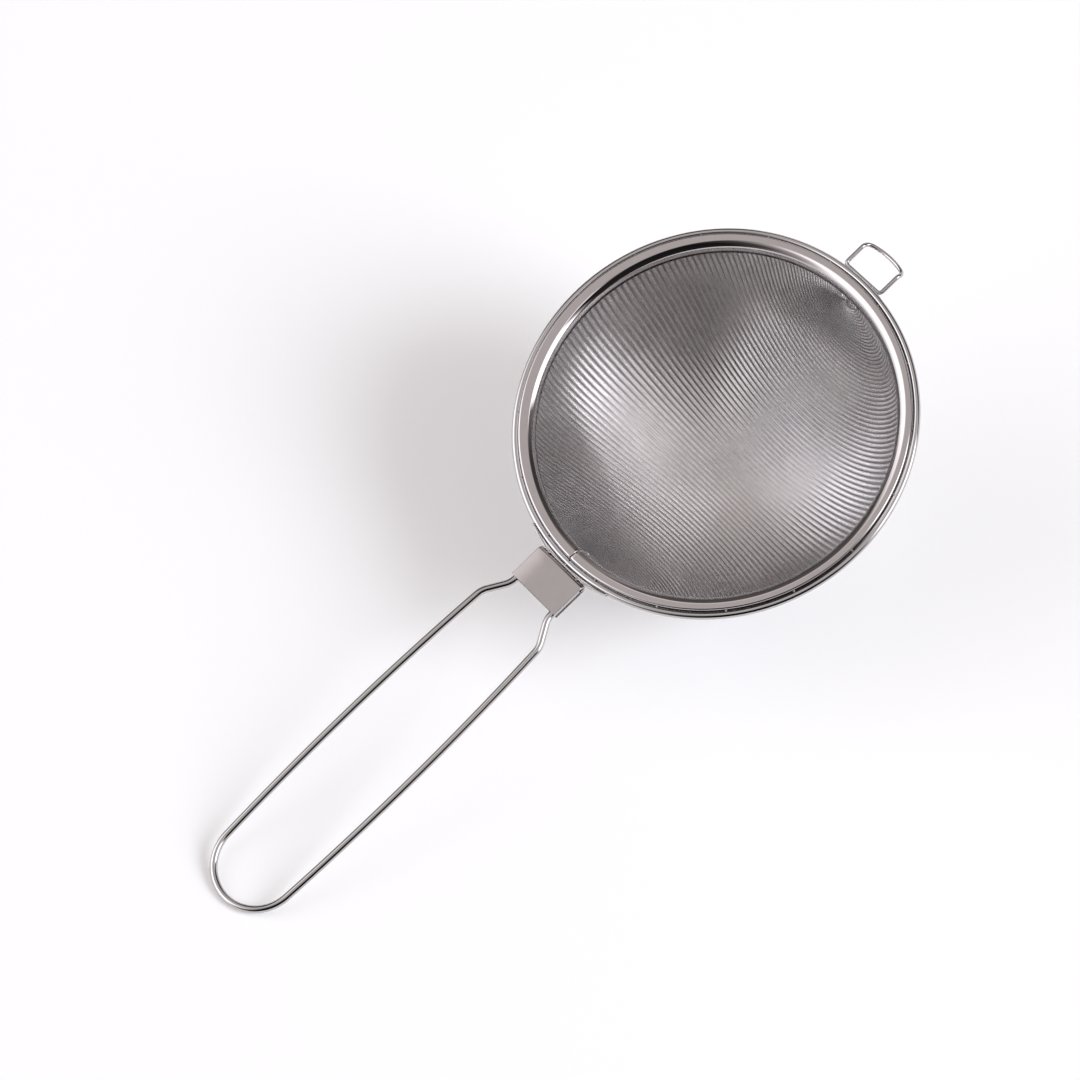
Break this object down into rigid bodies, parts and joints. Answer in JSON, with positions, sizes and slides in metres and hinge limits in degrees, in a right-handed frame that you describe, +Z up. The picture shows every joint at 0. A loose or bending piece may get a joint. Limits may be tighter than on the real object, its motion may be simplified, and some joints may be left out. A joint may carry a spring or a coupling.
{
  "type": "tea strainer",
  "caption": "Round handled tea strainer: a deep woven wire cup in a pressed rim with a hoop, a long looped wire handle held in a folded clip, and a small wire hook opposite.",
  "frame": {"origin": "on the table, at the middle of the strainer's length and width as it lies", "axes": "+X from the handle's end towards the hook, +Y to the left, +Z up from the table the strainer lies on"},
  "size_m": [0.2148, 0.0998, 0.0641],
  "materials": {
    "mesh": "fine woven steel wire, bright",
    "ring": "polished stainless sheet",
    "wire": "polished stainless wire",
    "sheet": "polished stainless sheet",
    "weld": "small resistance welds, dull"
  },
  "bodies": {
    "root": {"mesh_cup": "mesh", "rim_ring": "ring", "core_wire": "wire", "hoop_wire": "wire", "hoop_tacks": "weld", "saddle_strip": "sheet", "clip": "sheet", "clip_tacks": "weld", "handle_wire": "wire", "hook_wire": "wire", "hook_welds": "weld"}
  },
  "joints": []
}
